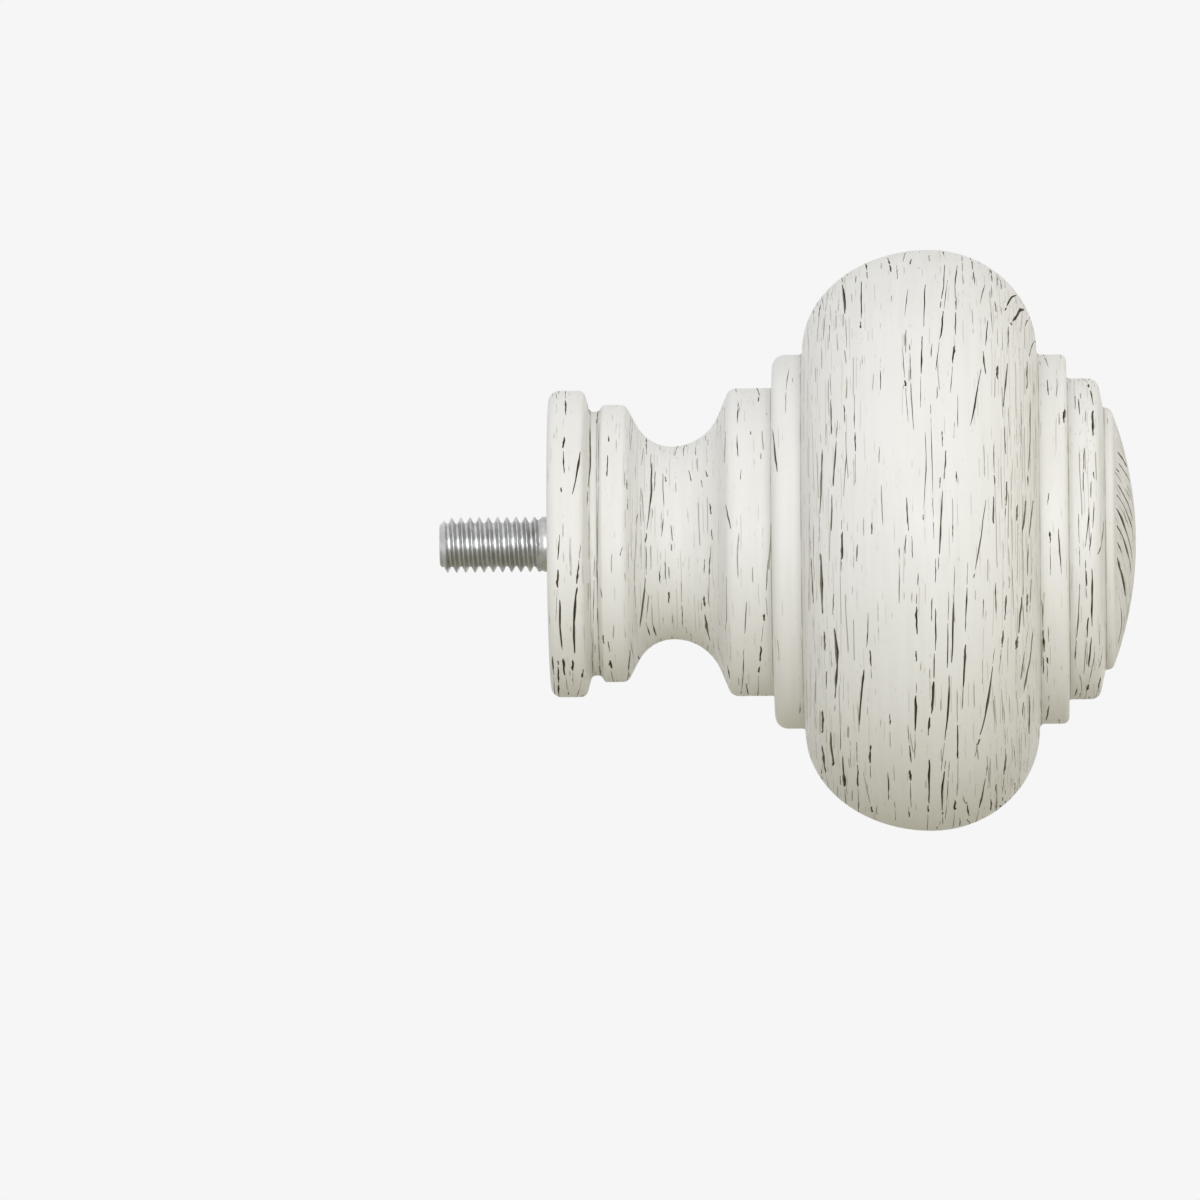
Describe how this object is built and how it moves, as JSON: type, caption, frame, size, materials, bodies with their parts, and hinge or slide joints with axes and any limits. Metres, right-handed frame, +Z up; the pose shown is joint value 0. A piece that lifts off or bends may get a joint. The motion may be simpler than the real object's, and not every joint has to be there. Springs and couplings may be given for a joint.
{
  "type": "curtain pole finial",
  "caption": "Turned knob finial for the end of a curtain pole: hollow neck, stepped collars, wide rounded bead and domed end, with a steel bolt in its base.",
  "frame": {"origin": "centre of the flat base face that seats on the end of the pole", "axes": "+X along the finial's axis, away from the pole and towards the dome; +Z up"},
  "size_m": [0.0758, 0.0632, 0.0632],
  "materials": {
    "painted_resin": "satin off-white paint, with a dark brown wash in the moulded grain",
    "zinc_steel": "zinc plated"
  },
  "bodies": {
    "root": {"finial_body": "painted_resin", "mounting_bolt": "zinc_steel"}
  },
  "joints": []
}
